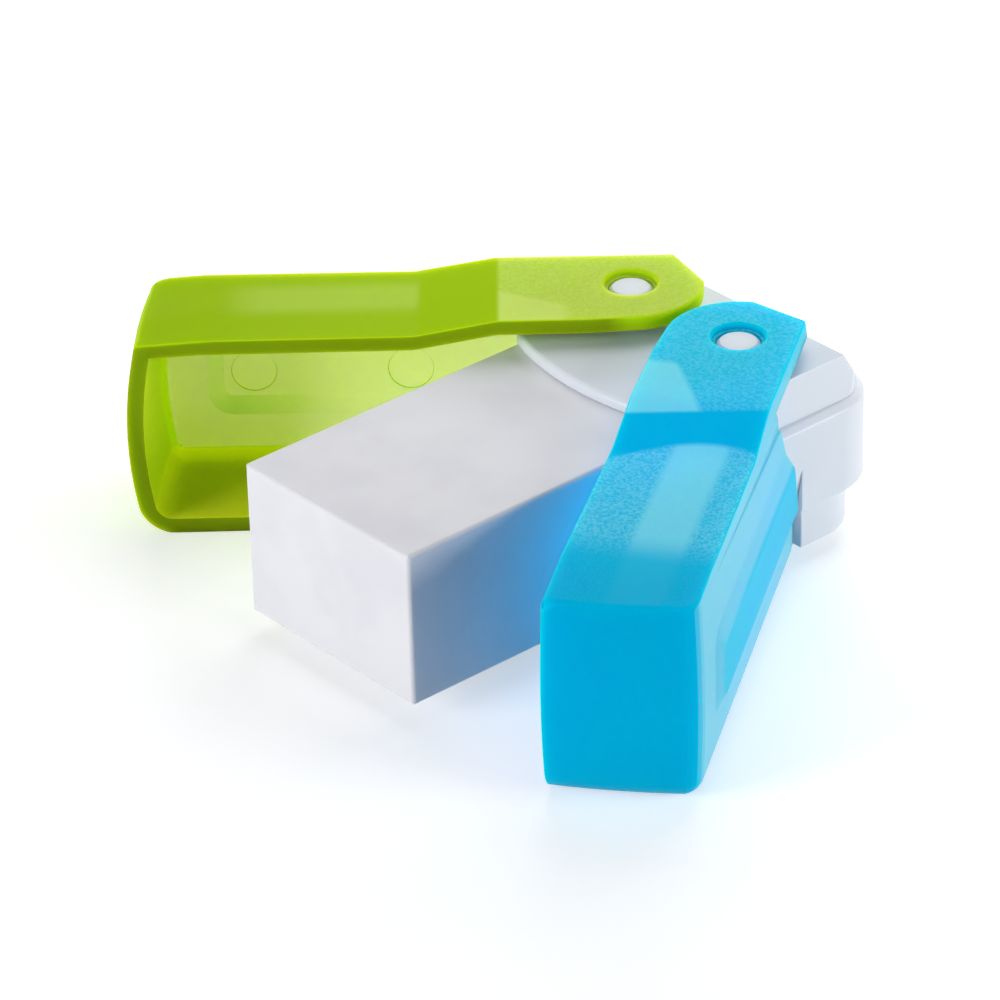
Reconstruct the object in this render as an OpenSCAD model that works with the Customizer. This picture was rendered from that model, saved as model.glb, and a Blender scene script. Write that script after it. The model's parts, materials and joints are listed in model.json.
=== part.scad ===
// Pocket eraser in a swivel case.
// A white holder grips the rubber block and carries four studs. Two mirror-image
// half covers turn on the studs: closed they box the block in, open they swing
// out to either side of it.
//
// X runs from the pivot line towards the tip of the block, Y from the green
// cover to the blue one, Z up. Z = 0 is the face that the covers rest on.

/* [Rubber block] */
// Width of the block across the case
block_w = 22; // [19:0.5:26]
// Height of the block
block_h = 15; // [12:0.5:20]
// Distance from the pivot line to the tip of the block
block_reach = 42; // [34:0.5:60]
// Length of the tail that is gripped behind the pivot line
block_tail = 7.5; // [4:0.5:8]
// Radius of the block's edges
block_edge_r = 0.4; // [0.2:0.1:1.5]

/* [Pivots] */
// Distance between the two pivot axes
pivot_spacing = 14.2; // [13:0.2:16]
// Diameter of the studs that the covers turn on
stud_d = 4; // [3:0.1:5]
// Running clearance round a stud, on the radius
stud_play = 0.06; // [0.03:0.01:0.1]
// Depth of a stud's head below the face of its tongue
head_sink = 0.5; // [0.3:0.1:0.8]
// Bevel round a stud's head
head_bevel = 0.3; // [0.1:0.1:0.5]
// Width of the open ring round a stud's head
head_ring = 0.4; // [0.2:0.1:0.7]
// Width of the lead-in bevel round that ring
ring_bevel = 0.4; // [0.1:0.1:0.6]
// Diameter of the bosses that the tongues slide on
boss_d = 8; // [6:0.5:8.5]
// Gap between a boss and its tongue
slide_gap = 0.12; // [0.06:0.02:0.18]

/* [Covers] */
// Thickness of the covers' walls
wall = 1.5; // [1.2:0.1:1.8]
// Gap between the two rims when the case is closed
rim_gap = 0.3; // [0.1:0.1:0.8]
// Gap between the block's side and the side wall at mid height
side_gap = 0.65; // [0.6:0.05:1]
// Gap between the block's tip and the front wall
tip_gap = 1.1; // [0.8:0.1:2]
// Gap between the block's top and the front plate
roof_gap = 1.05; // [0.6:0.05:1.5]
// Height of the tongue's face above the front plate
tongue_rise = 1.35; // [0.9:0.05:2]
// Distance from the pivot to the top of the ramp
ramp_start = 12.2; // [10:0.2:15]
// Length of the ramp down to the front plate
ramp_len = 7.4; // [5:0.2:10]
// Radius of the ramp's bends
ramp_r = 6; // [3:0.5:10]
// Setback of the tongue's round end from the rim line
tail_inset = 0.3; // [0.1:0.1:1]
// Distance from the pivot to the point where the round end has run out to the rim line
rim_start = 4; // [3:0.5:8]
// Slant of the tongue's rear edge, in degrees
tail_slant = 26; // [15:1:35]
// Bow of the side wall at mid height
side_bow = 0.55; // [0.2:0.05:1]
// Spread of the side wall from the pivot to the front
side_flare = 0.5; // [0:0.1:1.2]
// Bow of the front wall at mid height
front_bow = 1.25; // [0.4:0.05:2]
// Radius of the front wall in plan
front_curve_r = 70; // [50:5:120]
// Length over which the top plate falls towards the front wall
lead_len = 5.5; // [3:0.5:9]
// Distance by which it falls
lead_drop = 0.4; // [0.1:0.1:0.6]
// Radius of the lower outer edge
foot_r = 2.8; // [1:0.1:3.2]
// Radius of the lower inner edge
floor_r = 1.3; // [0.5:0.1:1.4]
// Radius of the upright corner at the front, outside
corner_r = 1.8; // [1:0.1:3]
// Radius of the upright corner at the front, inside
nook_r = 1.2; // [0.5:0.1:2]

/* [Rear edge of the side wall] */
// Distance from the pivot, at the floor
edge_low = 4; // [3:0.1:4.6]
// Distance from the pivot, at the knee
edge_knee = 6.5; // [5:0.1:7]
// Distance from the pivot, under the tongue
edge_high = 10.4; // [8:0.1:12]
// Height of the knee below the underside of the tongue
knee_drop = 8.2; // [6:0.2:11]
// Radius of the knee
knee_r = 4; // [1:0.5:8]

/* [Side pads] */
// Height by which the pad stands out from the side wall
pad_rise = 0.5; // [0.2:0.05:0.7]
// Height of the pad, bevels included
pad_h = 7.9; // [6:0.1:11]
// Distance from the pad's front end to the front wall's face
pad_set_back = 5.6; // [3:0.2:8]
// Width of the bevel round the pad
pad_bevel = 1.4; // [0.5:0.1:1.8]
// Radius of the pad's corners, inside the bevel
pad_corner_r = 0.8; // [0.4:0.1:1]
// Diameter of the ejector marks behind the pad
mark_d = 4.2; // [3:0.2:5]
// Depth of the ejector marks
mark_depth = 0.1; // [0.05:0.05:0.2]
// Distance from the front wall's face to the first mark
mark_set_back = 9.8; // [8:0.2:14]
// Distance between the two marks
mark_spacing = 14.5; // [8:0.5:18]

/* [Holder] */
// Thickness of the lip above the block
upper_lip_t = 1.1; // [0.8:0.05:1.4]
// Thickness of the lip below the block
lower_lip_t = 0.6; // [0.55:0.05:1]
// Radius of the lips' front edge
lip_edge_r = 0.5; // [0.3:0.05:0.55]
// Distance from the pivot line to the middle of the lips' front edge
lip_reach = 12.6; // [10:0.2:16]
// Radius of the lips' front edge in plan
lip_bow_r = 30; // [20:1:60]
// Setback of the lips from the block's sides
lip_inset = 0.1; // [0.05:0.05:0.4]
// Bevel along the sides of the lower lip
lip_bevel = 0.45; // [0.4:0.05:0.5]
// Gap between the holder's underside and the covers' floors
under_gap = 0.2; // [0.2:0.05:0.5]
// Height of the grip band
band_h = 9.4; // [7:0.2:12]
// Distance by which the band stands out from the sides of the closed covers
band_proud = 0.95; // [0:0.05:1.5]
// Distance from the pivot line to the band's rear face
band_rear = 12.3; // [11.5:0.1:15]
// Radius of the band's rear corners
band_corner_r = 6; // [3:0.5:7]
// Bevel along the band's edges
band_bevel = 0.6; // [0.2:0.1:1]
// Width of the shelf above the band, at the sides
shelf_side = 0.9; // [0.4:0.05:1.2]
// Width of the shelves above and below the band, at the rear
shelf_rear = 2.4; // [1:0.1:3]
// Lean of the upper flanks from the shelf to the lip, at the sides
lean_side = 0.8; // [0.3:0.05:1]
// Lean of the upper flanks from the shelf to the lip, at the rear
lean_rear = 2; // [1:0.1:2.4]
// Radius of the upper flanks' rear corners
upper_corner_r = 2.5; // [1:0.1:4]
// Setback of the lower flanks from the band's sides
lower_inset = 0.15; // [0.1:0.05:0.6]
// Radius of the lower flanks' rear corners
lower_corner_r = 5.5; // [3:0.5:7]

/* [Swing] */
// Opening angle of the green cover
green_open = 41; // [0:1:42]
// Opening angle of the blue cover
blue_open = 34.5; // [0:0.5:42]
// Opening angle at which a side wall meets the grip band
open_limit = 42; // [42:1:44]
// Gap between a swinging side wall and the holder
swing_gap = 0.25; // [0.15:0.05:0.4]

/* [Hidden] */
$fn = 96;
// Overshoot of a cutting solid past the face it cuts
over = 5;

// Heights of the stack at the pivots, from the floor up
holder_z0 = wall + under_gap;
block_z0 = holder_z0 + lower_lip_t;
block_z1 = block_z0 + block_h;
holder_z1 = block_z1 + upper_lip_t;
plate_z = block_z1 + roof_gap + wall;
tongue_z = plate_z + tongue_rise;
tongue_under = tongue_z - wall;
mid_z = plate_z / 2;
core_z = (block_z0 + block_z1) / 2;
band_z0 = core_z - band_h / 2;
band_z1 = core_z + band_h / 2;

// Cover outline in plan, measured from the pivot
pin_y = pivot_spacing / 2;
rim_o = pin_y - rim_gap / 2;
tail_r = rim_o - tail_inset;
case_half_w = block_w / 2 + side_gap + wall;
side_o = case_half_w - side_bow - pin_y;
front_f = block_reach + tip_gap + wall;
span = 2 * front_f;

// Upright corner, and the directions in which the front and the side face there
corner_o = side_o + side_flare;
front_turn = asin((corner_o + rim_o) / front_curve_r);
corner_f = front_f - front_curve_r * (1 - cos(front_turn));
flare_angle = atan(side_flare / corner_f);
side_turn = 90 + flare_angle;
front_reach = corner_f * cos(front_turn) + corner_o * sin(front_turn);
side_reach = side_o * cos(flare_angle);

// Rear edge of the side wall, and the circles that it sweeps inside the case
knee_z = tongue_under - knee_drop;
shoulder_z = wall + floor_r;
edge_shoulder = edge_low + (edge_knee - edge_low) * floor_r / (knee_z - wall);
swing_o = side_o - wall;
band_half_w = case_half_w + band_proud;
stop_x = edge_low / cos(open_limit) - (band_half_w - pin_y) * tan(open_limit) - swing_gap;

// Side pad, in the side wall's own frame
pad_face = side_bow + pad_rise;
pad_end = front_f - pad_set_back - pad_bevel;
pad_z0 = mid_z - pad_h / 2 + pad_bevel;
pad_z1 = mid_z + pad_h / 2 - pad_bevel;

// Lips
lip_half_w = block_w / 2 - lip_inset;

function unit(v) = v / norm(v);
function swing_radius(edge, o = swing_o) = norm([edge, o]) - swing_gap;

// Share, in the direction t, of a vector whose shares are a and b in the directions
// of the front and of the side
function between(a, b, t) =
    (a * sin(side_turn - t) + b * sin(t - front_turn)) / sin(side_turn - front_turn);

// Points of an arc about c, in equal steps
function arc(c, r, from, to, steps) =
    [for (i = [0:steps]) let (t = from + (to - from) * i / steps) c + r * [cos(t), sin(t)]];

// Points that round the corner at p, between its neighbours a and b
function rounded(p, a, b, r, steps = 10) =
    let (
        u = unit(a - p),
        v = unit(b - p),
        half = acos(u * v) / 2,
        c = p + unit(u + v) * r / sin(half),
        first = p + u * r / tan(half) - c,
        last = p + v * r / tan(half) - c,
        from = atan2(first[1], first[0]),
        turn = (atan2(last[1], last[0]) - from + 540) % 360 - 180
    )
    arc(c, r, from, from + turn, steps);

// Shapes in the plane

module rounded_rect(w, h, r) {
    square([w - 2 * r, h], center = true);
    square([w, h - 2 * r], center = true);
    for (x = [-1, 1], y = [-1, 1])
        translate([x * (w / 2 - r), y * (h / 2 - r)]) circle(r);
}

// Extrusions of a profile drawn in the (X, Z) and (Y, Z) planes
module along_y(y0, y1) {
    translate([0, y1, 0]) rotate([90, 0, 0]) linear_extrude(y1 - y0) children();
}

module along_x(x0, x1) {
    translate([x0, 0, 0]) rotate([90, 0, 90]) linear_extrude(x1 - x0) children();
}

// Rubber block

module eraser_block() {
    length = block_reach + block_tail;
    color("white")
        translate([block_reach - length / 2, 0, block_z0 + block_h / 2])
            intersection() {
                linear_extrude(block_h, center = true)
                    rounded_rect(length, block_w, block_edge_r);
                rotate([90, 0, 0])
                    linear_extrude(block_w, center = true)
                        rounded_rect(length, block_h, block_edge_r);
                rotate([90, 0, 90])
                    linear_extrude(length, center = true)
                        rounded_rect(block_w, block_h, block_edge_r);
            }
}

// Covers: the pivot is the origin, +X points to the front and +Y outwards

// Side view of the outside, or of the inside when inset is the wall
module cover_side_view(inset) {
    top = plate_z - inset;
    crest = tongue_z - inset;
    lead_f = front_f - lead_len;
    foot = [ramp_start + ramp_len, top];
    brow = [ramp_start, crest];
    polygon(concat(
        [[-span, inset], [span, inset], [span, top - lead_drop * (span - lead_f) / lead_len]],
        [[lead_f, top]],
        rounded(foot, [lead_f, top], brow, ramp_r + inset),
        rounded(brow, foot, [-span, crest], ramp_r - inset),
        [[-span, crest]]
    ));
}

// Profile of a wall whose face stands at reach, and bow further out at mid height.
// Its foot is rounded. skew sets the levels of its points apart from those of walls
// with another skew, whatever the reach and bow.
module wall_profile(back, reach, bow, inset, edge_r, skew = 0) {
    full_r = (mid_z * mid_z + bow * bow) / (2 * bow);
    shoulder = inset + edge_r;
    crest = tongue_z + 1;
    function face(z) = reach + bow - full_r + sqrt(pow(full_r - inset, 2) - pow(z - mid_z, 2));
    polygon(concat(
        [[back, inset]],
        [for (t = [0, each [10 + 10 * skew:10:85]])
            let (z = shoulder - edge_r * cos(t)) [face(z) - edge_r * (1 - sin(t)), z]],
        [for (i = [0:12])
            let (z = shoulder + (crest - shoulder) * (i + skew) / 12) [face(z), z]],
        [[back, crest]]
    ));
}

// Space enclosed by the walls of the outside, or of the inside when inset is the wall.
// The front is round in plan, and flat faces turn the upright corner up to the side.
module within_walls(inset, edge_r, turn_r) {
    round_r = inset + turn_r;
    faces = 5;
    intersection() {
        translate([front_f - front_curve_r, -rim_o, 0])
            rotate_extrude() wall_profile(0, front_curve_r, front_bow, inset, edge_r, 0.4);
        intersection_for (i = [1:faces]) {
            turn = front_turn + (side_turn - front_turn) * i / faces;
            reach = between(front_reach - round_r, side_reach - round_r, turn) + round_r;
            rotate([0, 0, turn])
                along_y(-span, span)
                    wall_profile(-span, reach, between(front_bow, side_bow, turn), inset, edge_r);
        }
    }
}

module flared() {
    translate([0, side_o, 0]) rotate([0, 0, flare_angle]) children();
}

// Plan of the cover: round about the pivot at the inner side, slanted behind, and
// standing clear of the walls at the front and the outer side
module cover_plan() {
    outer_o = corner_o + over;
    rim_turn = 360 - atan2(rim_o, rim_start) - acos(tail_r / norm([rim_start, rim_o]));
    polygon(concat(
        [[rim_start, -rim_o], [span, -rim_o], [span, outer_o]],
        [[outer_o * tan(tail_slant) - tail_r, outer_o]],
        arc([0, 0], tail_r, 180, rim_turn, 32)
    ));
}

// Pad with a bevelled border, which runs on to the rear. Its face is sunk by inset: the
// wall's thickness gives the recess behind it.
module pad_form(inset) {
    face = pad_face - inset;
    depth = 2 * pad_rise;
    root = face - depth;
    spread = 2 * pad_bevel;
    turn_x = pad_end - pad_corner_r;
    along_x(-over, turn_x)
        polygon([
            [face, pad_z0], [face, pad_z1], [root, pad_z1 + spread], [root, pad_z0 - spread]
        ]);
    translate([0, 0, pad_z0 + pad_corner_r])
        linear_extrude(pad_z1 - pad_z0 - 2 * pad_corner_r)
            polygon([
                [turn_x - 1, face], [pad_end, face], [pad_end + spread, root], [turn_x - 1, root]
            ]);
    for (z = [pad_z0 + pad_corner_r, pad_z1 - pad_corner_r])
        translate([turn_x, root, z])
            rotate([-90, 0, 0]) cylinder(depth, pad_corner_r + spread, pad_corner_r);
}

module ejector_marks() {
    for (i = [0, 1])
        translate([front_f - mark_set_back - i * mark_spacing, pad_face - wall - over, mid_z])
            rotate([-90, 0, 0]) cylinder(over + mark_depth, d = mark_d);
}

// Space behind the side wall's rear edge, between the two tongues
module rear_window() {
    low = [edge_low, wall];
    knee = [edge_knee, knee_z];
    high = [edge_high, tongue_under];
    along_y(0, side_o + side_bow + over)
        polygon(concat(
            [[-span, wall], low],
            rounded(knee, low, high, knee_r),
            [high, [-span, tongue_under]]
        ));
}

module pivot_holes() {
    translate([0, 0, -over]) cylinder(tongue_z + 2 * over, d = stud_d + 2 * stud_play);
    ring_d = stud_d + 2 * head_ring;
    for (face = [[0, 0], [tongue_z, 180]])
        translate([0, 0, face[0]]) rotate([face[1], 0, 0]) {
            translate([0, 0, -over]) cylinder(over + head_sink + stud_play, d = ring_d);
            translate([0, 0, -ring_bevel / 2])
                cylinder(ring_bevel, d1 = ring_d + 2 * ring_bevel, d2 = ring_d);
        }
}

module cover() {
    difference() {
        union() {
            intersection() {
                linear_extrude(tongue_z) cover_plan();
                along_y(-span, span) cover_side_view(0);
                within_walls(0, foot_r, corner_r);
            }
            flared() pad_form(0);
        }
        intersection() {
            along_y(-span, span) cover_side_view(wall);
            within_walls(wall, floor_r, nook_r);
        }
        flared() pad_form(wall);
        flared() ejector_marks();
        rear_window();
        pivot_holes();
    }
}

module green_cover() {
    color("yellowgreen")
        mirror([0, 1, 0]) translate([0, pin_y, 0]) rotate([0, 0, green_open]) cover();
}

module blue_cover() {
    color("deepskyblue")
        translate([0, pin_y, 0]) rotate([0, 0, blue_open]) cover();
}

// Holder

// Grip band: a slab with bevelled edges and round corners at the rear
module grip_band() {
    b = band_bevel;
    turn_x = band_corner_r - band_rear;
    turn_y = band_half_w - band_corner_r;
    along_x(turn_x, lip_reach)
        polygon([
            [-band_half_w, band_z0 + b], [b - band_half_w, band_z0],
            [band_half_w - b, band_z0], [band_half_w, band_z0 + b],
            [band_half_w, band_z1 - b], [band_half_w - b, band_z1],
            [b - band_half_w, band_z1], [-band_half_w, band_z1 - b]
        ]);
    along_y(-turn_y, turn_y)
        polygon([
            [turn_x + 1, band_z0], [b - band_rear, band_z0],
            [-band_rear, band_z0 + b], [-band_rear, band_z1 - b],
            [b - band_rear, band_z1], [turn_x + 1, band_z1]
        ]);
    for (side = [-1, 1])
        translate([turn_x, side * turn_y, 0])
            rotate_extrude()
                polygon([
                    [0, band_z0], [band_corner_r - b, band_z0],
                    [band_corner_r, band_z0 + b], [band_corner_r, band_z1 - b],
                    [band_corner_r - b, band_z1], [0, band_z1]
                ]);
}

// Body above or below the band: upright up to the band's edge, and leaning from
// there to its end, by side_lean at the sides and by rear_lean at the rear
module flanks(edge_z, end_z, half_w, side_lean, rear_lean, turn_r) {
    front = lip_reach + over;
    rear = band_rear - shelf_rear;
    intersection() {
        along_x(-rear, front)
            polygon([
                [-half_w, core_z], [half_w, core_z], [half_w, edge_z],
                [half_w - side_lean, end_z], [side_lean - half_w, end_z], [-half_w, edge_z]
            ]);
        along_y(-half_w, half_w)
            polygon([
                [front, core_z], [-rear, core_z], [-rear, edge_z],
                [rear_lean - rear, end_z], [front, end_z]
            ]);
        linear_extrude(tongue_z)
            polygon(concat(
                [[front, -half_w], [front, half_w]],
                rounded([-rear, half_w], [0, half_w], [-rear, 0], turn_r),
                rounded([-rear, -half_w], [-rear, 0], [0, -half_w], turn_r)
            ));
    }
}

// Round slab that gives the lips their bowed front edge
module lip_disc() {
    low = [lip_bow_r, holder_z0];
    high = [lip_bow_r, holder_z1];
    translate([lip_reach - lip_bow_r, 0, 0])
        rotate_extrude($fn = 360)
            polygon(concat(
                [[0, holder_z0]],
                rounded(low, [0, holder_z0], high, lip_edge_r, 6),
                rounded(high, low, [0, holder_z1], lip_edge_r, 6),
                [[0, holder_z1]]
            ));
}

// Room in which one side wall swings, outside the lips and ahead of the stop
module swing_room() {
    lip_low = lip_half_w - lip_bevel;
    difference() {
        along_x(stop_x, front_f)
            polygon([
                [lip_low, -over], [lip_low, holder_z0], [lip_half_w, holder_z0 + lip_bevel],
                [lip_half_w, tongue_z + over], [span, tongue_z + over], [span, -over]
            ]);
        translate([0, pin_y, 0])
            rotate_extrude()
                polygon([
                    [0, -2 * over],
                    [swing_radius(edge_low, swing_o - floor_r / 2), -2 * over],
                    [swing_radius(edge_low, swing_o - floor_r / 2), holder_z0],
                    [swing_radius(edge_shoulder), shoulder_z],
                    [swing_radius(edge_knee), knee_z],
                    [swing_radius(edge_high), tongue_under],
                    [swing_radius(edge_high), tongue_z + 2 * over],
                    [0, tongue_z + 2 * over]
                ]);
    }
}

// Boss and stud on one face of the holder, growing up from the face
module stud(face_z, boss_z, head_z) {
    root_z = face_z - lower_lip_t / 2;
    translate([0, 0, root_z]) cylinder(boss_z - root_z, d = boss_d);
    translate([0, 0, face_z]) cylinder(head_z - head_bevel - face_z, d = stud_d);
    translate([0, 0, head_z - head_bevel])
        cylinder(head_bevel, d1 = stud_d, d2 = stud_d - 2 * head_bevel);
}

module holder() {
    color("whitesmoke") {
        difference() {
            union() {
                grip_band();
                intersection() {
                    union() {
                        flanks(band_z1, holder_z1, band_half_w - shelf_side,
                               lean_side, lean_rear, upper_corner_r);
                        flanks(band_z0, holder_z0, band_half_w - lower_inset,
                               0, 0, lower_corner_r);
                    }
                    lip_disc();
                }
            }
            for (side = [0, 1]) mirror([0, side, 0]) swing_room();
            translate([-block_tail, -block_w / 2, block_z0])
                cube([block_tail + lip_reach + over, block_w, block_h]);
        }
        for (y = [-pin_y, pin_y]) translate([0, y, 0]) {
            stud(holder_z1, tongue_under - slide_gap, tongue_z - head_sink);
            mirror([0, 0, 1]) stud(-holder_z0, -wall - slide_gap, -head_sink);
        }
    }
}

eraser_block();
holder();
green_cover();
blue_cover();
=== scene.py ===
import json
import logging
import math
from dataclasses import dataclass, field
from enum import Enum
from typing import Any

import bmesh
import bpy
from mathutils import Matrix, Vector
from mathutils.bvhtree import BVHTree


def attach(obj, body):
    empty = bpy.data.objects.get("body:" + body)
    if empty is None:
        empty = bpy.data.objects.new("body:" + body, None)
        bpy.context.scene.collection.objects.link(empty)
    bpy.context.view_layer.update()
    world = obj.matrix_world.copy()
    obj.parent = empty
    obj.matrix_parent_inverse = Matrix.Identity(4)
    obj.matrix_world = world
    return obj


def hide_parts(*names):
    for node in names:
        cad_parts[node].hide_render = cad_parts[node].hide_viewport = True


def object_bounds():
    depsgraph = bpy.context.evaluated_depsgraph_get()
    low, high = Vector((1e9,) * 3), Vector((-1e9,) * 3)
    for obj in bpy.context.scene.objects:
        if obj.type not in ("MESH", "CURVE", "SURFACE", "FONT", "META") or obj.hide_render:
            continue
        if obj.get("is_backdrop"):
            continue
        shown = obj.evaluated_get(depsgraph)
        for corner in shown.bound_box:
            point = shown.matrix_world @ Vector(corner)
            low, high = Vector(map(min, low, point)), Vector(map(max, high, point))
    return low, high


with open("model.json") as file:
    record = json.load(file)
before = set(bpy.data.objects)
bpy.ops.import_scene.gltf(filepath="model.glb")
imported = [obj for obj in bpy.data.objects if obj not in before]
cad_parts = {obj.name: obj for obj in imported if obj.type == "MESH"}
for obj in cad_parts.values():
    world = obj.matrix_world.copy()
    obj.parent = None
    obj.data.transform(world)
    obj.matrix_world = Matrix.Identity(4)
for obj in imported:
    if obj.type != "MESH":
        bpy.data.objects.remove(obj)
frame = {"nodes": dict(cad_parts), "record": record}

# Pocket eraser in a swivel case: a rubber block in a white holder, between two half
# covers of tinted plastic. Lengths are in metres, apart from those in Spot and Zones,
# which are in mm, and those whose name ends in _mm or _px.

MM = 0.001
PHOTO_PX = 1000
UP = (0.0, 0.0, 1.0)
WHITE = (1.0, 1.0, 1.0, 1.0)
BLACK = (0.0, 0.0, 0.0, 1.0)
Colour = tuple[float, float, float, float]
Triple = tuple[float, float, float]
Span = tuple[float, float]
log = logging.getLogger("pocket_eraser")


class Node(Enum):
    """The CAD nodes that the scene dresses."""

    BLOCK = "eraser_block"
    HOLDER = "holder"
    GREEN = "green_cover"
    BLUE = "blue_cover"


class Output(Enum):
    """Sockets of the texture coordinate and geometry nodes that finishes read."""

    OBJECT = "Object"
    NORMAL = "Normal"


class MixSocket(Enum):
    """Sockets of the Mix node when it mixes colours."""

    SHARE = 0
    RESULT = 2
    FIRST = 6
    SECOND = 7


@dataclass(frozen=True)
class Signal:
    """A node's output socket that can be used in sums.

    Args:
        graph: The finish graph that the socket belongs to.
        socket: The output socket.
    """

    graph: "FinishGraph"
    socket: bpy.types.NodeSocket

    def math(self, operation: str, *values: Any) -> "Signal":
        """The result of one Math node, whose inputs are numbers or Signals."""
        inputs = dict(enumerate(values))
        return self.graph.node("ShaderNodeMath", {"operation": operation}, inputs).out()

    def __add__(self, other: Any) -> "Signal":
        """self + other"""
        return self.math("ADD", self, other)

    def __radd__(self, other: Any) -> "Signal":
        """other + self"""
        return self.math("ADD", other, self)

    def __sub__(self, other: Any) -> "Signal":
        """self - other"""
        return self.math("SUBTRACT", self, other)

    def __rsub__(self, other: Any) -> "Signal":
        """other - self"""
        return self.math("SUBTRACT", other, self)

    def __mul__(self, other: Any) -> "Signal":
        """self * other"""
        return self.math("MULTIPLY", self, other)

    def __rmul__(self, other: Any) -> "Signal":
        """other * self"""
        return self.math("MULTIPLY", other, self)

    def __truediv__(self, other: Any) -> "Signal":
        """self / other"""
        return self.math("DIVIDE", self, other)

    def __rtruediv__(self, other: Any) -> "Signal":
        """other / self"""
        return self.math("DIVIDE", other, self)

    def step(self, low: float, high: float) -> "Signal":
        """A smooth step.

        Args:
            low: The value at which the step starts from 0.
            high: The value at which it reaches 1. It may be below low.

        Returns:
            The step, from 0 to 1.
        """
        inputs = {"Value": self, "From Min": low, "From Max": high}
        settings = {"interpolation_type": "SMOOTHSTEP"}
        return self.graph.node("ShaderNodeMapRange", settings, inputs).out()

    def between(self, first: Any, second: Any) -> "Signal":
        """The value this share of the way from the first to the second."""
        return first + self * (second - first)

    def along(self, direction: Triple) -> "Signal":
        """This vector's length along a direction."""
        settings = {"operation": "DOT_PRODUCT"}
        return self.graph.node("ShaderNodeVectorMath", settings, {0: self, 1: direction}).out("Value")


@dataclass(frozen=True)
class Placed:
    """A node that has been added to a finish graph."""

    graph: "FinishGraph"
    item: bpy.types.Node

    def out(self, key: Any = 0) -> Signal:
        """The output socket with that name or number."""
        return Signal(self.graph, self.item.outputs[key])


class FinishGraph:
    """Builds the nodes of one material, or of the world."""

    def __init__(self, name: str, world: bool = False) -> None:
        """Makes an empty material or world.

        Args:
            name: Its name.
            world: Whether it is the world.
        """
        self.owner = (bpy.data.worlds if world else bpy.data.materials).new(name)
        self.output = "ShaderNodeOutputWorld" if world else "ShaderNodeOutputMaterial"
        self.owner.use_nodes = True
        self.tree = self.owner.node_tree
        self.tree.nodes.clear()

    def node(
        self, kind: str, settings: dict[str, Any] | None = None, inputs: dict[Any, Any] | None = None,
    ) -> Placed:
        """Adds any node.

        Args:
            kind: The node's type.
            settings: Its properties, which are set before its inputs.
            inputs: Values or Signals, by socket name or number.

        Returns:
            The node.
        """
        item = self.tree.nodes.new(kind)
        for key, value in (settings or {}).items():
            setattr(item, key, value)
        for key, value in (inputs or {}).items():
            socket = item.inputs[key]
            if isinstance(value, Signal):
                self.tree.links.new(value.socket, socket)
            else:
                socket.default_value = value
        return Placed(self, item)

    def place(self) -> Signal:
        """The point in the row frame, which stays on the piece as it turns."""
        return self.node("ShaderNodeTexCoord").out(Output.OBJECT.value)

    def facing(self) -> Signal:
        """The surface's own normal."""
        return self.node("ShaderNodeNewGeometry").out(Output.NORMAL.value)

    def grain(self, size: float, detail: float = 2.0, roughness: float = 0.5) -> Signal:
        """Even noise.

        Args:
            size: The width of one grain, in metres.
            detail: Octaves added.
            roughness: Share kept by each finer octave.

        Returns:
            The noise, about 0.5 on average.
        """
        inputs = {"Vector": self.place(), "Scale": 1 / size, "Detail": detail, "Roughness": roughness}
        return self.node("ShaderNodeTexNoise", None, inputs).out()

    def blend(self, share: Any, first: Any, second: Any) -> Signal:
        """Mixes two colours.

        Args:
            share: How much of the second colour shows.
            first: A colour or Signal.
            second: A colour or Signal.

        Returns:
            The mixed colour.
        """
        inputs = {
            MixSocket.SHARE.value: share,
            MixSocket.FIRST.value: first,
            MixSocket.SECOND.value: second,
        }
        mixer = self.node("ShaderNodeMix", {"data_type": "RGBA"}, inputs)
        return mixer.out(MixSocket.RESULT.value)

    def relief(self, height: Signal, depth: float) -> Signal:
        """The normal of a bump, from a height between 0 and 1 and the depth of that step in metres."""
        return self.node("ShaderNodeBump", None, {"Height": height, "Distance": depth}).out("Normal")

    def in_sight(self) -> Signal:
        """The mask of the rays that see the white background.

        Returns:
            1 for the rays of the camera, of gloss and of glass, else 0.
        """
        rays = self.node("ShaderNodeLightPath")
        seen = rays.out("Is Camera Ray") + rays.out("Is Glossy Ray") + rays.out("Is Transmission Ray")
        return seen.math("MINIMUM", seen, 1.0)

    def finish(self, shader: Placed) -> Any:
        """Ends the material or world with a shader."""
        self.node(self.output, None, {"Surface": shader.out()})
        return self.owner


def rgba(red: int, green: int, blue: int) -> Colour:
    """A screen colour as linear light.

    Args:
        red: Red, from 0 to 255.
        green: Green.
        blue: Blue.

    Returns:
        The colour, opaque.
    """
    def linear(level: int) -> float:
        """One channel in linear light."""
        share = level / 255
        return share / 12.92 if share <= 0.04045 else ((share + 0.055) / 1.055) ** 2.4

    return linear(red), linear(green), linear(blue), 1.0


@dataclass(frozen=True)
class Joint:
    """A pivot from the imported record.

    Args:
        place: A point on its axis.
        side: 1 where its cover opens to +Y, or -1.
        open_deg: How far its cover is open at rest.
    """

    place: Vector
    side: float
    open_deg: float

    @classmethod
    def of(cls, name: str) -> "Joint":
        """Reads a joint.

        Args:
            name: The joint's name in the record.

        Returns:
            The joint.
        """
        rows = frame["record"]["behaviour"]["joints"]
        row = next(r for r in rows if r["name"] == name)
        return cls(Vector(row["pos_m"]), math.copysign(1, row["axis"][2]), -row["range_deg"][0])

    def outward(self) -> Triple:
        """The cover's outward direction at rest."""
        turn = math.radians(self.open_deg)
        return -math.sin(turn), self.side * math.cos(turn), 0.0

    def forward(self) -> Triple:
        """The cover's direction to the front at rest."""
        turn = math.radians(self.open_deg)
        return math.cos(turn), self.side * math.sin(turn), 0.0


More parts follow.
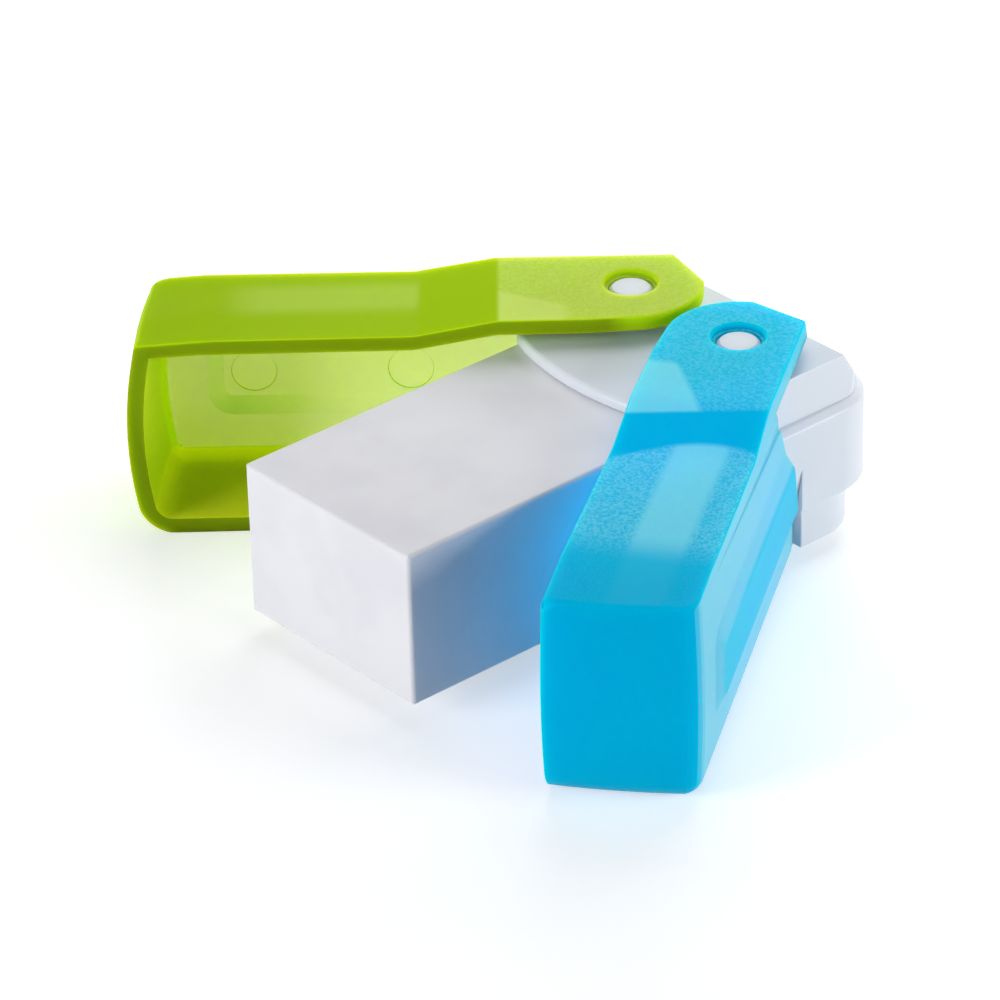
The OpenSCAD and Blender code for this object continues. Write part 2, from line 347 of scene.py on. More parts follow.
@dataclass(frozen=True)
class FrostSheen:
    """How strong the painted sheen and painted reflections on the frosted flats of a cover's top are,
    from 0 to 1.

    Args:
        tongue: The tongue round the stud.
        tongue_reflection: The painted reflection of a soft lamp, a pale patch before the tongue's ramp.
        plate: The front plate.
        plate_reflection: The painted reflection of a soft lamp, a pale strip along the front plate.
        speckle: How strongly the stipple breaks the painted sheen into paler and darker specks.
    """

    tongue: float
    tongue_reflection: float
    plate: float
    plate_reflection: float
    speckle: float


@dataclass(frozen=True)
class Spot:
    """A point of a cover's surface, in the cover's own directions.

    Args:
        along: Its place towards the front, from the pivot, in mm.
        across: Its place outwards, from the pivot, in mm.
        level: Its height, in mm.
        front: How much the surface faces the front, from -1 to 1.
        side: How much it faces outwards.
        top: How much it faces up.
    """

    along: Signal
    across: Signal
    level: Signal
    front: Signal
    side: Signal
    top: Signal

    @classmethod
    def of(cls, graph: FinishGraph, joint: Joint) -> "Spot":
        """Adds the nodes that find a cover's points.

        Args:
            graph: The cover's finish.
            joint: The cover's pivot.

        Returns:
            The point that is being shaded.
        """
        facing, place = graph.facing(), graph.place()
        outward, forward = joint.outward(), joint.forward()
        return cls(
            along=(place.along(forward) - joint.place.dot(Vector(forward))) / MM,
            across=(place.along(outward) - joint.place.dot(Vector(outward))) / MM,
            level=place.along(UP) / MM,
            front=facing.along(forward),
            side=facing.along(outward),
            top=facing.along(UP),
        )


@dataclass(frozen=True)
class Zones:
    """The parts of a cover that look different.

    Places are in mm, as in Spot. A pair gives where a zone starts from nothing and where it is
    whole, and a facing pair gives the same for the surface's direction.

    Args:
        tongue_end: Where the frosted tongue ends and the smooth ramp starts.
        plate_start: Where the frosted front plate starts.
        tongue_fade: Half the width of the tongue zone's end.
        plate_fade: How far before and after plate_start that zone fades in.
        ramp_lean: How much the tongue's end leans over the cover's width.
        ramp_bulge: How much the plate's start bends over the cover's width, per mm.
        bulge_at: Where across the cover it bends least.
        front: Where the frosting fades towards the front.
        front_loss: The share of it that is lost there.
        patch_slope: The slope of the edge of the painted reflection on the tongue, a pale patch.
        patch_offset: Where that edge crosses the pivot.
        patch_fade: The patch's edge.
        patch: Where the patch starts.
        strip: The inner and outer edge of the painted reflection on the front plate, a pale strip.
        strip_fade: Half the width of those edges.
        rim: The cut face that meets the other cover.
        lining: The side wall's inner face.
        floor: The lower plate's upper face.
        nose: The front wall's inner face.
        nose_share: How much of the inside's colour the front wall takes.
        flank: The side wall's outer face.
        roof: The top plate's and tongue's upper face.
        pad: The lower and upper edge of the side pad.
        pad_end: The side pad's front end.
        pad_fade: The width of the side pad's edge.
    """

    tongue_end: float = 12.0
    plate_start: float = 19.2
    tongue_fade: float = 0.3
    plate_fade: Span = (0.4, 0.5)
    ramp_lean: float = 0.0
    ramp_bulge: float = 0.0
    bulge_at: float = 2.0
    front: Span = (33.0, 38.0)
    front_loss: float = 0.9
    patch_slope: float = 0.49
    patch_offset: float = 7.05
    patch_fade: Span = (0.4, -0.5)
    patch: Span = (5.2, 6.6)
    strip: Span = (-1.7, 3.1)
    strip_fade: float = 0.55
    rim: Span = (-6.65, -6.85)
    lining: Span = (2.6, 3.0)
    floor: Span = (5.0, 4.0)
    nose: Span = (37.0, 38.0)
    nose_share: float = 0.7
    flank: Span = (5.2, 5.6)
    roof: Span = (17.5, 18.0)
    pad: Span = (7.4, 12.5)
    pad_end: float = 37.6
    pad_fade: float = 0.6
    facing_rim: Span = (-0.7, -0.95)
    facing_lining: Span = (-0.92, -0.962)
    facing_floor: Span = (0.15, 0.5)
    facing_nose: Span = (-0.15, -0.5)
    facing_flank: Span = (0.75, 0.95)
    facing_pad: Span = (0.93, 0.98)
    facing_roof: Span = (0.86, 0.97)

    def on_roof(self, spot: Spot) -> Signal:
        """The upper face."""
        return spot.top.step(*self.facing_roof) * spot.level.step(*self.roof)

    def on_rim(self, spot: Spot) -> Signal:
        """The cut face that meets the other cover."""
        return spot.side.step(*self.facing_rim) * spot.across.step(*self.rim)

    def on_lining(self, spot: Spot) -> Signal:
        """The side wall's inner face."""
        return spot.side.step(*self.facing_lining) * spot.across.step(*self.lining)

    def inside(self, spot: Spot) -> Signal:
        """The inner faces of the lower plate and the front wall, which take the painted glow.

        Args:
            spot: The place.

        Returns:
            The mask.
        """
        floor = spot.top.step(*self.facing_floor) * spot.level.step(*self.floor)
        nose = spot.front.step(*self.facing_nose) * spot.along.step(*self.nose)
        return floor + nose * self.nose_share

    def on_flank(self, spot: Spot) -> Signal:
        """The side wall's outer face."""
        return spot.side.step(*self.facing_flank) * spot.across.step(*self.flank)

    def on_pad(self, spot: Spot) -> Signal:
        """The side pad's face.

        Args:
            spot: The place.

        Returns:
            The mask.
        """
        low, high = self.pad
        fade = self.pad_fade
        rows = spot.level.step(low - fade, low) * spot.level.step(high + fade, high)
        length = spot.along.step(self.pad_end + fade, self.pad_end)
        return spot.side.step(*self.facing_pad) * rows * length

    def on_tongue(self, spot: Spot) -> Signal:
        """The tongue's upper face."""
        leaning = spot.along + spot.across * self.ramp_lean
        return leaning.step(self.tongue_end + self.tongue_fade, self.tongue_end - self.tongue_fade)

    def on_plate(self, spot: Spot) -> Signal:
        """The front plate's upper face.

        Args:
            spot: The place.

        Returns:
            The mask, which loses most of its strength towards the front.
        """
        before, after = self.plate_fade
        away = spot.across - self.bulge_at
        bent = spot.along - away * away * self.ramp_bulge
        plate = bent.step(self.plate_start - before, self.plate_start + after)
        return plate * (1 - self.front_loss * spot.along.step(*self.front))

    def in_tongue_reflection(self, spot: Spot) -> Signal:
        """The painted reflection on the tongue, a pale patch."""
        past_edge = spot.across - spot.along * self.patch_slope + self.patch_offset
        return past_edge.step(*self.patch_fade) * spot.along.step(*self.patch)

    def in_plate_reflection(self, spot: Spot) -> Signal:
        """The painted reflection along the front plate, a pale strip.

        Args:
            spot: The place.

        Returns:
            The mask.
        """
        low, high = self.strip
        fade = self.strip_fade
        return spot.across.step(low - fade, low + fade) * spot.across.step(high + fade, high - fade)


@dataclass(frozen=True)
class TintedPlastic:
    """Translucent moulded plastic: frosted flats on top, a smooth ramp and polished sides.

    Args:
        name: The material's name.
        joint: The pivot of the cover that it is for.
        body: The plastic's colour.
        deep: Its colour where it is a little darker.
        top_shade: Its colour on the upper faces, darker than the body: painted shade on top.
        frost_sheen: The colour of the frosted flats, paler than the body: painted sheen.
        rim: Its colour on the cut face.
        lining: Its colour on the side wall's inner face, far paler than the body: painted light, the
            glow of light let through the plastic.
        inside: Its colour on the other inner faces, paler than the body: painted light, the glow of
            light let through the plastic.
        flank: Its colour on the side wall's outer face, less saturated than the body: painted reflection
            of grazing light.
        pad: Its colour on the side pad.
        passes: How far red, green and blue light spread in it, as shares of glow.
        sheen_levels: How strong the painted sheen and painted reflections on the frosted zones are.
        zones: Where they are.
        milkiness: The share of the light that spreads in it.
        specular: Its gloss.
        ior: Its refractive index.
        glow: How far light spreads in it.
        polish: Its roughness where it is smooth.
        dulling: The roughness that frosting adds.
        stipple: The width of a grain of the frosting.
        stipple_depth: How deep that grain is.
        stipple_octaves: How many finer grains it has.
        stipple_roughness: How strong those are.
        stipple_band: The part of the noise that the grain rises over.
        skin: How much of the grain the smooth faces have.
        mottle: The width of the patches of body and deep, and mottle_octaves is their detail.
    """

    name: str
    joint: Joint
    body: Colour
    deep: Colour
    top_shade: Colour
    frost_sheen: Colour
    rim: Colour
    lining: Colour
    inside: Colour
    flank: Colour
    pad: Colour
    passes: Triple
    sheen_levels: FrostSheen
    zones: Zones
    milkiness: float = 0.9
    specular: float = 0.012
    ior: float = 1.49
    glow: float = 4.5 * MM
    polish: float = 0.28
    dulling: float = 0.3
    stipple: float = 0.26 * MM
    stipple_depth: float = 0.03 * MM
    stipple_octaves: float = 2.0
    stipple_roughness: float = 0.65
    stipple_band: Span = (0.38, 0.62)
    skin: float = 0.08
    mottle: float = 6 * MM
    mottle_octaves: float = 1.0

    def frosting(self, spot: Spot, grit: Signal) -> Signal:
        """How frosted each place on top is, which is also how much painted sheen it takes.

        Args:
            spot: The place.
            grit: The stipple, from 0 to 1.

        Returns:
            The share of the painted sheen colour.
        """
        zones, sheen_levels = self.zones, self.sheen_levels
        fine = 1 + (grit * 2 - 1) * sheen_levels.speckle
        # Painted reflections of a soft lamp: a pale patch on the tongue and a pale strip along the front
        # plate.
        tongue = zones.in_tongue_reflection(spot).between(fine * sheen_levels.tongue, sheen_levels.tongue_reflection)
        plate = zones.in_plate_reflection(spot).between(fine * sheen_levels.plate, sheen_levels.plate_reflection)
        return zones.on_tongue(spot) * tongue + zones.on_plate(spot) * plate

    def material(self) -> bpy.types.Material:
        """Builds the material.

        Returns:
            The material.
        """
        graph, zones = FinishGraph(self.name), self.zones
        spot = Spot.of(graph, self.joint)
        grit = graph.grain(self.stipple, self.stipple_octaves, self.stipple_roughness)
        grit = grit.step(*self.stipple_band)
        roof = zones.on_roof(spot)
        # The frosted flats on top: the frosting is in roughness and grain, and their paler colour is
        # painted sheen.
        frost_sheen = roof * self.frosting(spot, grit)
        colour = graph.blend(graph.grain(self.mottle, self.mottle_octaves), self.body, self.deep)
        # Painted light: the inner floor and front wall are made paler, as if lit through the plastic.
        colour = graph.blend(zones.inside(spot), colour, self.inside)
        # Painted shade: the upper faces take their own darker copy of the body colour.
        colour = graph.blend(roof, colour, self.top_shade)
        colour = graph.blend(frost_sheen, colour, self.frost_sheen)
        # Painted reflection: the side wall's outer face is made paler. The side pad keeps a colour near
        # the body's.
        colour = graph.blend(zones.on_flank(spot), colour, self.flank)
        colour = graph.blend(zones.on_pad(spot), colour, self.pad)
        # Painted light: the side wall's inner face is made paler, as if lit through the plastic.
        colour = graph.blend(zones.on_lining(spot), colour, self.lining)
        colour = graph.blend(zones.on_rim(spot), colour, self.rim)
        shader = graph.node("ShaderNodeBsdfPrincipled", {"subsurface_method": "RANDOM_WALK"}, {
            "Base Color": colour,
            "Roughness": self.polish + frost_sheen * self.dulling,
            "IOR": self.ior,
            "Specular IOR Level": self.specular,
            "Subsurface Weight": self.milkiness,
            "Subsurface Radius": self.passes,
            "Subsurface Scale": self.glow,
            "Normal": graph.relief(grit * (frost_sheen + self.skin), self.stipple_depth),
        })
        return graph.finish(shader)


@dataclass(frozen=True)
class VinylRubber:
    """Soft white rubber with a dry, faintly uneven surface.

    Args:
        name: The material's name.
        body: The rubber's colour.
        dull: Its colour in the duller patches.
        patch: The width of those, patch_octaves their detail, and patch_band the noise they rise over.
        pore: The width of a pore, and pore_depth its depth.
        roughness: Its roughness, and unevenness is how much that changes.
        ior: Its refractive index.
        milkiness: The share of the light that spreads in it.
        passes: How far red, green and blue light spread in it, as shares of glow.
        glow: How far light spreads in it.
    """

    name: str = "white_vinyl_rubber"
    body: Colour = rgba(236, 236, 241)
    dull: Colour = rgba(229, 229, 235)
    patch: float = 9 * MM
    patch_octaves: float = 3.0
    patch_band: Span = (0.4, 0.7)
    pore: float = 0.25 * MM
    pore_depth: float = 0.008 * MM
    roughness: float = 0.55
    unevenness: float = 0.12
    ior: float = 1.52
    milkiness: float = 0.35
    passes: Triple = (1.0, 0.95, 0.9)
    glow: float = 1.0 * MM

    def material(self) -> bpy.types.Material:
        """Builds the material.

        Returns:
            The material.
        """
        graph = FinishGraph(self.name)
        cloud = graph.grain(self.patch, self.patch_octaves)
        pores = graph.grain(self.pore)
        shader = graph.node("ShaderNodeBsdfPrincipled", {"subsurface_method": "RANDOM_WALK"}, {
            "Base Color": graph.blend(cloud.step(*self.patch_band), self.body, self.dull),
            "Roughness": self.roughness + cloud * self.unevenness,
            "IOR": self.ior,
            "Subsurface Weight": self.milkiness,
            "Subsurface Radius": self.passes,
            "Subsurface Scale": self.glow,
            "Normal": graph.relief(pores, self.pore_depth),
        })
        return graph.finish(shader)


@dataclass(frozen=True)
class WhitePlastic:
    """White moulded plastic with a soft gloss.

    Args:
        name: The material's name.
        body: The plastic's colour.
        shade: Its colour where it is a little darker.
        flow: The width of those places.
        skin: The width of the surface's unevenness, skin_octaves its detail and skin_depth its depth.
        roughness: Its roughness, and unevenness is how much that changes.
        ior: Its refractive index.
        milkiness: The share of the light that spreads in it.
        passes: How far red, green and blue light spread in it, as shares of glow.
        glow: How far light spreads in it.
    """

    name: str = "white_moulded_plastic"
    body: Colour = rgba(226, 231, 238)
    shade: Colour = rgba(219, 225, 233)
    flow: float = 7 * MM
    skin: float = 0.5 * MM
    skin_octaves: float = 1.0
    skin_depth: float = 0.004 * MM
    roughness: float = 0.3
    unevenness: float = 0.1
    ior: float = 1.49
    milkiness: float = 0.3
    passes: Triple = (1.0, 1.0, 1.0)
    glow: float = 1.0 * MM

    def material(self) -> bpy.types.Material:
        """Builds the material.

        Returns:
            The material.
        """
        graph = FinishGraph(self.name)
        cloud = graph.grain(self.flow)
        skin = graph.grain(self.skin, self.skin_octaves)
        shader = graph.node("ShaderNodeBsdfPrincipled", {"subsurface_method": "RANDOM_WALK"}, {
            "Base Color": graph.blend(cloud, self.body, self.shade),
            "Roughness": self.roughness + cloud * self.unevenness,
            "IOR": self.ior,
            "Subsurface Weight": self.milkiness,
            "Subsurface Radius": self.passes,
            "Subsurface Scale": self.glow,
            "Normal": graph.relief(skin, self.skin_depth),
        })
        return graph.finish(shader)


@dataclass
class MouldedPiece:
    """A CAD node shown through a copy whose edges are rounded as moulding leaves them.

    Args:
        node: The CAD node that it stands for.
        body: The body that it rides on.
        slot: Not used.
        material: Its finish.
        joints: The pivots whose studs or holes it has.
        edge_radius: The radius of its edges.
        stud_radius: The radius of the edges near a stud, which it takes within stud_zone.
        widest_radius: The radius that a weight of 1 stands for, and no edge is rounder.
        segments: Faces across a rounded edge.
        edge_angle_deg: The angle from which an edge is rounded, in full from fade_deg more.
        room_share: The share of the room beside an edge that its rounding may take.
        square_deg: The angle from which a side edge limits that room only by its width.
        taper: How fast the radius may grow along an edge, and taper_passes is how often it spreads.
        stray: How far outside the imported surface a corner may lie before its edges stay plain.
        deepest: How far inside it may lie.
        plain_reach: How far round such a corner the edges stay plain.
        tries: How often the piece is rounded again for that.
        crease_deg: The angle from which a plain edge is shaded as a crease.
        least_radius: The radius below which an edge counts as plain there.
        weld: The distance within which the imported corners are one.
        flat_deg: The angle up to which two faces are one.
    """

    node: Node
    body: str
    slot: str
    material: bpy.types.Material
    joints: tuple[Joint, ...] = ()
    edge_radius: float = 0.22 * MM
    stud_radius: float = 0.06 * MM
    stud_zone: float = 3.4 * MM
    widest_radius: float = 0.7 * MM
    segments: int = 3
    edge_angle_deg: float = 28.0
    fade_deg: float = 10.0
    room_share: float = 0.45
    square_deg: float = 80.0
    taper: float = 0.25
    taper_passes: int = 6
    stray: float = 0.03 * MM
    deepest: float = 0.2 * MM
    plain_reach: float = 1.2 * MM
    tries: int = 5
    crease_deg: float = 13.0
    least_radius: float = 0.02 * MM
    weld: float = 0.002 * MM
    flat_deg: float = 0.6

    def radius(self, edge: bmesh.types.BMEdge) -> float:
        """The radius that an edge would have with room enough.

        Args:
            edge: The edge.

        Returns:
            The radius, which is least near the studs.
        """
        gaps = [(v.co.xy - joint.place.xy).length for v in edge.verts for joint in self.joints]
        is_near_stud = min(gaps, default=math.inf) < self.stud_zone
        return self.stud_radius if is_near_stud else self.edge_radius

    def is_sharp(self, edge: bmesh.types.BMEdge) -> bool:
        """Whether an edge's faces meet at a corner."""
        return edge.is_manifold and edge.calc_face_angle() > math.radians(self.edge_angle_deg)

    def room(self, edge: bmesh.types.BMEdge) -> float:
        """The room for an edge's rounding.

        Args:
            edge: The edge.

        Returns:
            The largest radius that the edges at its ends leave room for.
        """
        room, length = self.widest_radius, edge.calc_length()
        for vert in edge.verts:
            way = (edge.other_vert(vert).co - vert.co).normalized()
            for other in vert.link_edges:
                if other == edge:
                    continue
                angle = way.angle(other.other_vert(vert).co - vert.co)
                if self.is_sharp(other):
                    reach = length * math.tan(angle / 2)
                elif angle < math.radians(self.square_deg):
                    reach = min(other.calc_length() * math.sin(angle), length * math.tan(angle))
                else:
                    reach = other.calc_length() * math.sin(angle)
                room = min(room, self.room_share * reach)
        return room

    def radii(self, work: bmesh.types.BMesh, plain: list[Vector]) -> dict[bmesh.types.BMEdge, float]:
        """The rounding of each sharp edge, tapered along chains of edges.

        Args:
            work: The cleaned mesh.
            plain: Places round which edges stay unrounded.

        Returns:
            The radius of each sharp edge.
        """
        radii = {}
        for edge in work.edges:
            if self.is_sharp(edge):
                past = math.degrees(edge.calc_face_angle()) - self.edge_angle_deg
                gaps = [(v.co - place).length for v in edge.verts for place in plain]
                is_plain = min(gaps, default=math.inf) < self.plain_reach
                wish = 0.0 if is_plain else self.radius(edge) * min(1.0, past / self.fade_deg)
                radii[edge] = min(wish, self.room(edge))
        for _ in range(self.taper_passes):
            for edge, radius in radii.items():
                beside = [radii[e] for v in edge.verts for e in v.link_edges if e in radii]
                radii[edge] = min(radius, min(beside) + self.taper * edge.calc_length())
        return radii

    def cleaned_mesh(self, plain: list[Vector]) -> bpy.types.Mesh:
        """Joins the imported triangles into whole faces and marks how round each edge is.

        Args:
            plain: Places round which edges stay unrounded.

        Returns:
            The mesh.
        """
        mesh = bpy.data.meshes.new(f"{self.node.value}_moulded")
        work = bmesh.new()
        work.from_mesh(frame["nodes"][self.node.value].data)
        bmesh.ops.remove_doubles(work, verts=work.verts, dist=self.weld)
        flat = math.radians(self.flat_deg)
        bmesh.ops.dissolve_limit(work, angle_limit=flat, verts=work.verts, edges=work.edges)
        weights = work.edges.layers.float.new("bevel_weight_edge")
        radii = self.radii(work, plain)
        for edge in work.edges:
            radius = radii.get(edge, 0.0)
            edge[weights] = radius / self.widest_radius
            is_crease = edge.is_manifold and edge.calc_face_angle() > math.radians(self.crease_deg)
            edge.smooth = radius > self.least_radius or not is_crease
        for face in work.faces:
            face.smooth = True
        work.to_mesh(mesh)
        work.free()
        return mesh

    def bevelled_mesh(self, plain: list[Vector]) -> bpy.types.Mesh:
        """Rounds the marked edges.

        Args:
            plain: Places round which edges stay unrounded.

        Returns:
            The mesh.
        """
        blank = bpy.data.objects.new("blank", self.cleaned_mesh(plain))
        bpy.context.scene.collection.objects.link(blank)
        bevel = blank.modifiers.new("edges", "BEVEL")
        bevel.width = self.widest_radius
        bevel.segments = self.segments
        bevel.limit_method = "WEIGHT"
        bevel.use_clamp_overlap = False
        graph = bpy.context.evaluated_depsgraph_get()
        mesh = bpy.data.meshes.new_from_object(blank.evaluated_get(graph))
        bpy.data.objects.remove(blank)
        return mesh

    def settle(self, mesh: bpy.types.Mesh) -> list[Vector]:
        """Moves the mesh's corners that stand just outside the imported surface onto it.

        Args:
            mesh: The rounded mesh.

        Returns:
            The corners that are too far from the surface for that.
        """
        graph = bpy.context.evaluated_depsgraph_get()
        surface = BVHTree.FromObject(frame["nodes"][self.node.value], graph)
        strays = []
        for vert in mesh.vertices:
            near, normal, _, gap = surface.find_nearest(vert.co)
            height = (vert.co - near).dot(normal)
            if gap > self.deepest or height > self.stray:
                strays.append(vert.co.copy())
            elif height > 0:
                vert.co = near
        return strays

    def rounded_mesh(self) -> bpy.types.Mesh:
        """Rounds the edges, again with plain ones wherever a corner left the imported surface.

        Returns:
            The mesh.
        """
        plain: list[Vector] = []
        for _ in range(self.tries):
            mesh = self.bevelled_mesh(plain)
            strays = self.settle(mesh)
            if not strays:
                break
            plain += strays
        return mesh

    def build(self) -> bpy.types.Object:
        """Builds, dresses and mounts the piece.

        Returns:
            The piece.
        """
        piece = bpy.data.objects.new(f"{self.node.value}_moulded", self.rounded_mesh())
        bpy.context.scene.collection.objects.link(piece)
        piece.data.materials.clear()
        piece.data.materials.append(self.material)
        shading = piece.modifiers.new("shading", "WEIGHTED_NORMAL")
        shading.mode = "FACE_AREA_WITH_ANGLE"
        shading.keep_sharp = True
        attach(piece, self.body)
        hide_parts(self.node.value)
        return piece


@dataclass
class Cover(MouldedPiece):
    """A half cover, whose outer top edge is rounder than its others.

    Args:
        crown_radius: The radius of that edge.
        crown_level: The height above which an edge counts as a top edge.
        outer: How far outwards from the pivot an edge counts as an outer one.
        front: How far to the front one does.
        rim: How far inwards the front wall's edges are those of the rim, which stay plain.
    """

    crown_radius: float = 0.6 * MM
    crown_level: float = 16.5 * MM
    outer: float = 6.0 * MM
    front: float = 40.0 * MM
    rim: float = -6.5 * MM

    def radius(self, edge: bmesh.types.BMEdge) -> float:
        """The radius that an edge would have with room enough.

        Args:
            edge: The edge.

        Returns:
            The radius, which is most at the outer top edge.
        """
        joint = self.joints[0]
        outward, forward = Vector(joint.outward()), Vector(joint.forward())
        spots = [v.co - joint.place for v in edge.verts]
        if all(s.dot(outward) < self.rim and s.dot(forward) > self.front for s in spots):
            return 0.0
        is_high = all(v.co.z > self.crown_level for v in edge.verts)
        is_outer = all(s.dot(outward) > self.outer or s.dot(forward) > self.front for s in spots)
        return self.crown_radius if is_high and is_outer else super().radius(edge)


@dataclass
class Camera:
    """The photograph's view, from a fit of the part's edges to it.

    Args:
        place: Where the camera stands.
        turn_deg: How far its line of sight is turned, from -Y towards -X.
        tilt_deg: How far it looks down.
        roll_deg: How far it is rolled.
        focal_px: Its focal length in the photograph's pixels.
        sensor_mm: The width of its sensor.
        reach: The nearest and the farthest point that it sees.
    """

    place: Vector = field(default_factory=lambda: Vector((0.29876, 0.32575, 0.25881)))
    turn_deg: float = 40.323
    tilt_deg: float = 30.185
    roll_deg: float = -1.665
    focal_px: float = 5591.8
    sensor_mm: float = 36.0
    reach: Span = (0.01, 10.0)

    def build(self) -> bpy.types.Object:
        """Places the camera and makes it the scene's own.

        Returns:
            The camera.
        """
        turn, tilt, roll = (math.radians(a) for a in (self.turn_deg, self.tilt_deg, self.roll_deg))
        away = Vector((-math.sin(turn), -math.cos(turn), 0))
        right = Vector((-math.cos(turn), math.sin(turn), 0))
        sight = away * math.cos(tilt) - Vector(UP) * math.sin(tilt)
        rise = away * math.sin(tilt) + Vector(UP) * math.cos(tilt)
        level = right * math.cos(roll) + rise * math.sin(roll)
        upright = rise * math.cos(roll) - right * math.sin(roll)
        data = bpy.data.cameras.new("camera")
        data.sensor_width = self.sensor_mm
        data.lens = self.focal_px * self.sensor_mm / PHOTO_PX
        data.clip_start, data.clip_end = self.reach
        camera = bpy.data.objects.new("camera", data)
        pose = Matrix((level, upright, -sight)).transposed().to_4x4()
        pose.translation = self.place
        camera.matrix_world = pose
        bpy.context.scene.collection.objects.link(camera)
        bpy.context.scene.camera = camera
        return camera


@dataclass
class Lamp:
    """A square soft light, placed round the part's middle and aimed at it.

    A lamp with a body stands in a cover's hollow, for the light that the cover's plastic
    tints and lets through, and it moves with that cover.

    Args:
        name: Its name.
        azimuth_deg: Its direction from +X towards +Y.
        elevation_deg: Its height as an angle.
        distance: Its distance.
        width: Its width.
        watts: Its power.
        colour: Its colour.
        in_gloss: Whether glossy surfaces mirror it.
        faces_down: Whether it faces straight down instead.
        body: The body that it moves with, if any.
    """

    name: str
    azimuth_deg: float
    elevation_deg: float
    distance: float
    width: float
    watts: float
    colour: Triple = (1.0, 1.0, 1.0)
    in_gloss: bool = True
    faces_down: bool = False
    body: str = ""

    def build(self, target: Vector) -> bpy.types.Object:
        """Places the lamp.

        Args:
            target: The part's middle.

        Returns:
            The lamp.
        """
        around, above = math.radians(self.azimuth_deg), math.radians(self.elevation_deg)
        level = Vector((math.cos(around), math.sin(around), 0))
        heading = level * math.cos(above) + Vector(UP) * math.sin(above)
        data = bpy.data.lights.new(self.name, "AREA")
        data.size = self.width
        data.energy = self.watts
        data.color = self.colour
        lamp = bpy.data.objects.new(self.name, data)
        lamp.visible_camera = False
        lamp.visible_glossy = self.in_gloss
        lamp.location = target + heading * self.distance
        back = Vector(UP) if self.faces_down else heading
        lamp.rotation_euler = back.to_track_quat("Z", "Y").to_euler()
        bpy.context.scene.collection.objects.link(lamp)
        if self.body:
            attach(lamp, self.body)
        return lamp


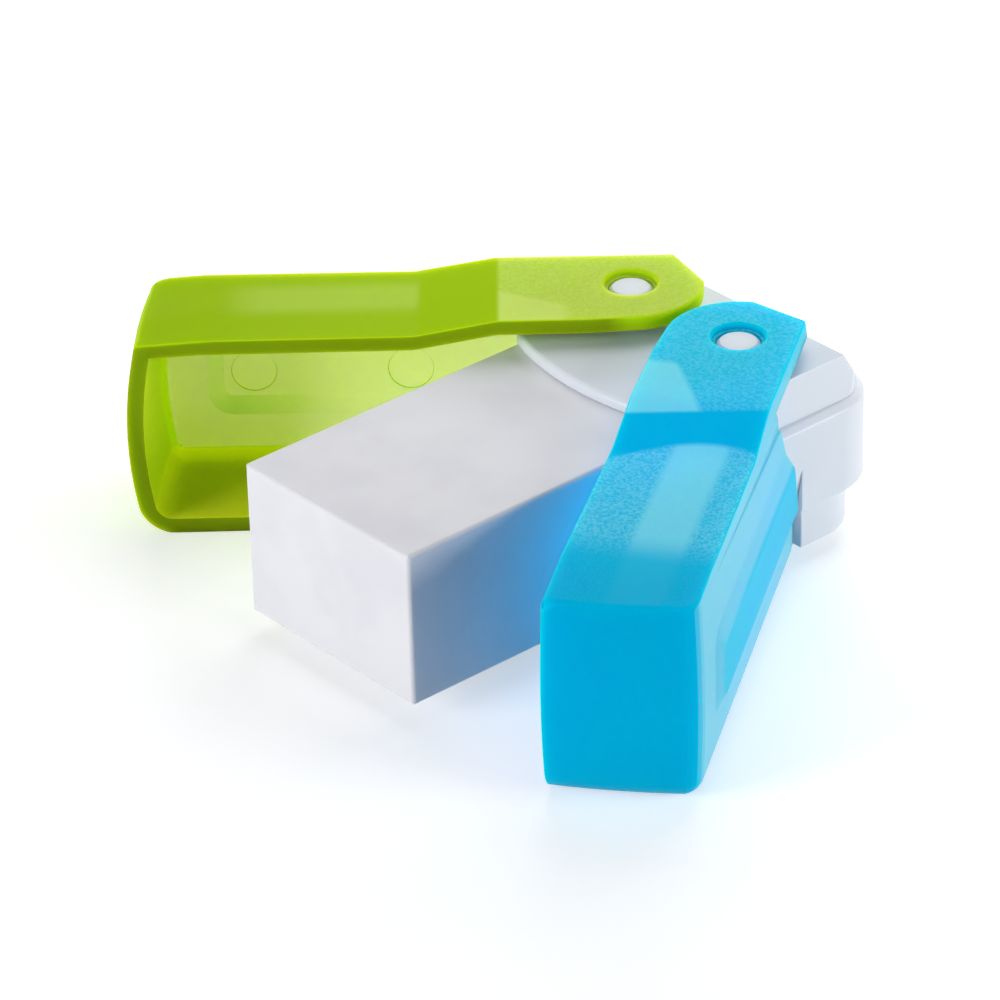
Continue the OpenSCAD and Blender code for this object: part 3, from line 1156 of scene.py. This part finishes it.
@dataclass
class Studio:
    """The pale floor, the lamps and the even light round them.

    Args:
        floor_width: The floor's width.
        floor_colour: Its colour.
        floor_roughness: Its roughness, and floor_unevenness is how much that changes.
        floor_grain: The width of a grain of it.
        floor_lift: How much it is lifted to white for the camera, gloss and glass.
        sky: The strength of the world's light.
        backdrop: The world's strength for the camera, gloss and glass.
        lamps: The lamps.
    """

    floor_width: float = 3.0
    floor_colour: Colour = rgba(240, 241, 243)
    floor_roughness: float = 0.7
    floor_unevenness: float = 0.1
    floor_grain: float = 2 * MM
    sky: float = 0.1
    backdrop: float = 1.0
    floor_lift: float = 0.45
    lamps: tuple[Lamp, ...] = (
        Lamp("key_left", -13, 16, 0.8, 0.35, 4.2),
        Lamp("side_right", 118, 12, 0.6, 0.3, 2.2),
        Lamp("back_left", 229, 13, 0.6, 0.35, 2.3, in_gloss=False),
        Lamp("top_back", 200, 62, 0.115, 0.1, 0.068, in_gloss=False),
        Lamp(
            "through_blue", 86, -2, 0.023, 0.010, 0.0011, (0.0, 0.5, 0.85),
            in_gloss=False, body="blue_cover"),
        Lamp(
            "through_green", -76.7, 18, 0.021, 0.010, 0.0003, (0.75, 1.0, 0.05),
            in_gloss=False, faces_down=True, body="green_cover"),
    )

    def floor(self) -> bpy.types.Object:
        """Builds the floor, which shows white to the camera where no shadow falls.

        Returns:
            The floor.
        """
        mesh = bpy.data.meshes.new("floor")
        half = self.floor_width / 2
        corners = [(-half, -half, 0), (half, -half, 0), (half, half, 0), (-half, half, 0)]
        mesh.from_pydata(corners, [], [(0, 1, 2, 3)])
        plane = bpy.data.objects.new("floor", mesh)
        bpy.context.scene.collection.objects.link(plane)
        graph = FinishGraph("pale_floor")
        shader = graph.node("ShaderNodeBsdfPrincipled", None, {
            "Base Color": self.floor_colour,
            "Roughness": self.floor_roughness + graph.grain(self.floor_grain) * self.floor_unevenness,
            "Emission Color": graph.blend(graph.in_sight(), BLACK, WHITE),
            "Emission Strength": self.floor_lift,
        })
        mesh.materials.append(graph.finish(shader))
        plane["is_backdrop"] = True
        return plane

    def world(self) -> bpy.types.World:
        """Builds the even light, which the camera sees as white.

        Returns:
            The world.
        """
        graph = FinishGraph("studio", world=True)
        strength = graph.in_sight().between(self.sky, self.backdrop)
        light = graph.node("ShaderNodeBackground", None, {"Color": WHITE, "Strength": strength})
        world = graph.finish(light)
        bpy.context.scene.world = world
        return world

    def build(self) -> None:
        """Builds the floor, the world and each lamp."""
        low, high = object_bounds()
        target = (Vector(low) + Vector(high)) / 2
        self.floor()
        self.world()
        for lamp in self.lamps:
            lamp.build(target)


def main() -> None:
    """Builds the pieces and the studio, and reports each through the log."""
    logging.basicConfig(level=logging.INFO, format="%(name)s: %(message)s")
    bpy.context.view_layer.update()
    green_joint, blue_joint = Joint.of("green_pivot"), Joint.of("blue_pivot")
    green = TintedPlastic(
        "green_plastic", green_joint,
        body=rgba(170, 209, 18), deep=rgba(164, 204, 16), top_shade=rgba(152, 187, 6),
        frost_sheen=rgba(206, 228, 120), rim=rgba(130, 154, 14), lining=rgba(230, 245, 198),
        inside=rgba(228, 255, 44), flank=rgba(165, 204, 25), pad=rgba(160, 200, 22),
        passes=(0.85, 1.0, 0.08), sheen_levels=FrostSheen(0.42, 0.7, 0.03, 0.3, 0.2),
        zones=Zones(strip_fade=1.3))
    blue = TintedPlastic(
        "blue_plastic", blue_joint,
        body=rgba(0, 190, 232), deep=rgba(0, 185, 228), top_shade=rgba(0, 184, 224),
        frost_sheen=rgba(142, 234, 255), rim=rgba(0, 150, 205), lining=rgba(0, 200, 250),
        inside=rgba(0, 210, 252), flank=rgba(110, 198, 226), pad=rgba(0, 184, 222),
        passes=(0.06, 0.6, 1.0), sheen_levels=FrostSheen(0.16, 0.6, 0.28, 0.64, 0.65),
        zones=Zones(tongue_end=13.5, plate_start=17.8, ramp_lean=0.185, ramp_bulge=0.046))
    rubber, white, studs = VinylRubber().material(), WhitePlastic().material(), (green_joint, blue_joint)
    pieces = [
        MouldedPiece(Node.BLOCK, "holder", "rubber_block", rubber, edge_radius=0.0),
        MouldedPiece(Node.HOLDER, "holder", "white_plastic", white, studs, edge_radius=0.15 * MM),
        Cover(Node.GREEN, "green_cover", "green_plastic", green.material(), (green_joint,)),
        Cover(Node.BLUE, "blue_cover", "blue_plastic", blue.material(), (blue_joint,)),
    ]
    for piece in pieces:
        made = piece.build()
        log.info("%s rides on %s", made.name, piece.body)
    Camera().build()
    Studio().build()
    bpy.context.scene.view_settings.view_transform = "Standard"


if __name__ == "__main__":
    main()
